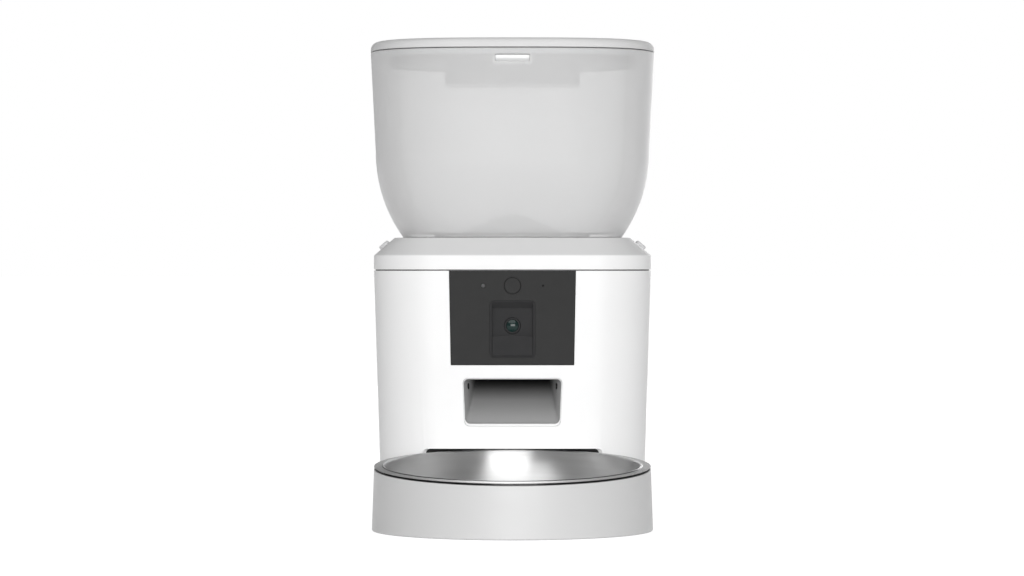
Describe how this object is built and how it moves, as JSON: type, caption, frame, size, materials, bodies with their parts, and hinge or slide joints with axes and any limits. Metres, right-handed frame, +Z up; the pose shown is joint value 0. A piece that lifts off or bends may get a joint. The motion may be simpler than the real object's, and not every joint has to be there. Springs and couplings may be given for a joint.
{
  "type": "camera pet feeder",
  "caption": "Automatic dry-food feeder with a smoky hopper, a camera panel, a metering rotor and chute, and a docked tray with a steel bowl.",
  "frame": {"origin": "middle of the whole object's footprint, on the surface that it stands on", "axes": "+Z up, +X to the right seen from the front, the feeder faces -Y"},
  "size_m": [0.1952, 0.352, 0.325],
  "materials": {
    "white_plastic": "white ABS, fine satin moulding",
    "grey_plastic": "light grey ABS, fine satin moulding",
    "smoky_plastic": "milky translucent smoke plastic, smooth",
    "dark_plastic": "charcoal plastic, fine matt texture",
    "black_plastic": "black plastic, satin",
    "natural_plastic": "natural white acetal and polypropylene",
    "circuit_board": "green solder mask",
    "bowl_steel": "spun stainless steel, brushed round the bowl",
    "plain_steel": "zinc plated steel",
    "brass": "turned brass",
    "rubber": "black rubber, matt",
    "silicone": "translucent grey silicone",
    "lens": "coated lens, green tint"
  },
  "bodies": {
    "base": {"housing": "white_plastic", "top_cover": "grey_plastic", "bottom_plate": "grey_plastic", "battery_case": "natural_plastic", "front_contact": "plain_steel", "rear_contact": "plain_steel", "foot_1": "rubber", "foot_2": "rubber", "foot_3": "rubber", "foot_4": "rubber", "base_screw_1": "plain_steel", "base_screw_2": "plain_steel", "base_screw_3": "plain_steel", "base_screw_4": "plain_steel", "cover_screw_1": "plain_steel", "cover_screw_2": "plain_steel", "cover_screw_3": "plain_steel", "cover_screw_4": "plain_steel", "dosing_chamber": "natural_plastic", "drop_guard": "natural_plastic", "rotor_bush": "brass", "motor_bracket": "natural_plastic", "gearbox": "plain_steel", "motor": "plain_steel", "bracket_screw_1": "plain_steel", "bracket_screw_2": "plain_steel", "bracket_screw_3": "plain_steel", "chute": "grey_plastic", "sensor_right": "black_plastic", "sensor_left": "black_plastic", "front_panel": "dark_plastic", "button_switch": "black_plastic", "microphone": "black_plastic", "light_pipe": "smoky_plastic", "control_board": "circuit_board", "camera_pocket": "dark_plastic", "lens_barrel": "black_plastic", "lens_glass": "lens", "camera_board": "circuit_board", "main_board": "circuit_board", "speaker": "black_plastic", "power_inlet": "black_plastic", "bowl_dock": "dark_plastic"},
    "rotor": {"rotor": "natural_plastic", "rotor_gear": "natural_plastic", "agitator": "silicone"},
    "pinion": {"pinion": "brass"},
    "control_button": {"control_button": "dark_plastic"},
    "camera_shutter": {"camera_shutter": "dark_plastic"},
    "release_tab_left": {"release_tab_left": "grey_plastic"},
    "release_tab_right": {"release_tab_right": "grey_plastic"},
    "battery_door": {"battery_door": "grey_plastic"},
    "hopper": {"hopper": "smoky_plastic", "hinge_pin": "plain_steel"},
    "lid": {"lid": "grey_plastic", "lid_gasket": "silicone"},
    "lid_button": {"lid_button": "grey_plastic"},
    "desiccant_cover": {"desiccant_cover": "grey_plastic"},
    "tray": {"bowl_tray": "grey_plastic"},
    "bowl": {"bowl": "bowl_steel"}
  },
  "joints": [
    {"name": "rotor_spin", "type": "hinge", "parent": "base", "child": "rotor", "pos_m": [0, 0.0765, 0.15], "axis": [0, 0, 1], "continuous": true},
    {"name": "pinion_spin", "type": "hinge", "parent": "base", "child": "pinion", "pos_m": [0, 0.104, 0.14], "axis": [0, 0, 1], "continuous": true},
    {"name": "control_button_press", "type": "slide", "parent": "base", "child": "control_button", "axis": [0, 1, 0], "range_m": [0, 0.0008], "stiffness_N_per_m": 400},
    {"name": "camera_shutter_slide", "type": "slide", "parent": "base", "child": "camera_shutter", "axis": [0, 0, 1], "range_m": [0, 0.013]},
    {"name": "release_tab_left_press", "type": "slide", "parent": "base", "child": "release_tab_left", "axis": [0.6486, 0, -0.7611], "range_m": [0, 0.0022], "stiffness_N_per_m": 600},
    {"name": "release_tab_right_press", "type": "slide", "parent": "base", "child": "release_tab_right", "axis": [-0.6486, 0, -0.7611], "range_m": [0, 0.0022], "stiffness_N_per_m": 600},
    {"name": "battery_door_swing", "type": "hinge", "parent": "base", "child": "battery_door", "pos_m": [0, 0.1455, 0.0035], "axis": [1, 0, 0], "range_deg": [0, 75]},
    {"name": "hopper_lift", "type": "slide", "parent": "base", "child": "hopper", "axis": [0, 0, 1], "range_m": [0, 0.06]},
    {"name": "lid_swing", "type": "hinge", "parent": "hopper", "child": "lid", "pos_m": [0, 0.1725, 0.319], "axis": [-1, 0, 0], "range_deg": [0, 100]},
    {"name": "lid_button_press", "type": "slide", "parent": "hopper", "child": "lid_button", "axis": [0, 1, 0], "range_m": [0, 0.002], "stiffness_N_per_m": 500},
    {"name": "desiccant_cover_swing", "type": "hinge", "parent": "lid", "child": "desiccant_cover", "pos_m": [0, 0.1031, 0.2978], "axis": [1, 0, 0], "range_deg": [0, 80]},
    {"name": "tray_slide", "type": "slide", "parent": "base", "child": "tray", "axis": [0, -1, 0], "range_m": [0, 0.06]},
    {"name": "bowl_turn", "type": "hinge", "parent": "tray", "child": "bowl", "pos_m": [0, -0.0845, 0.0417], "axis": [0, -0.0698, 0.9976], "continuous": true}
  ],
  "couplings": [
    {"joint": "pinion_spin", "follows": "rotor_spin", "ratio": -2.6667}
  ]
}
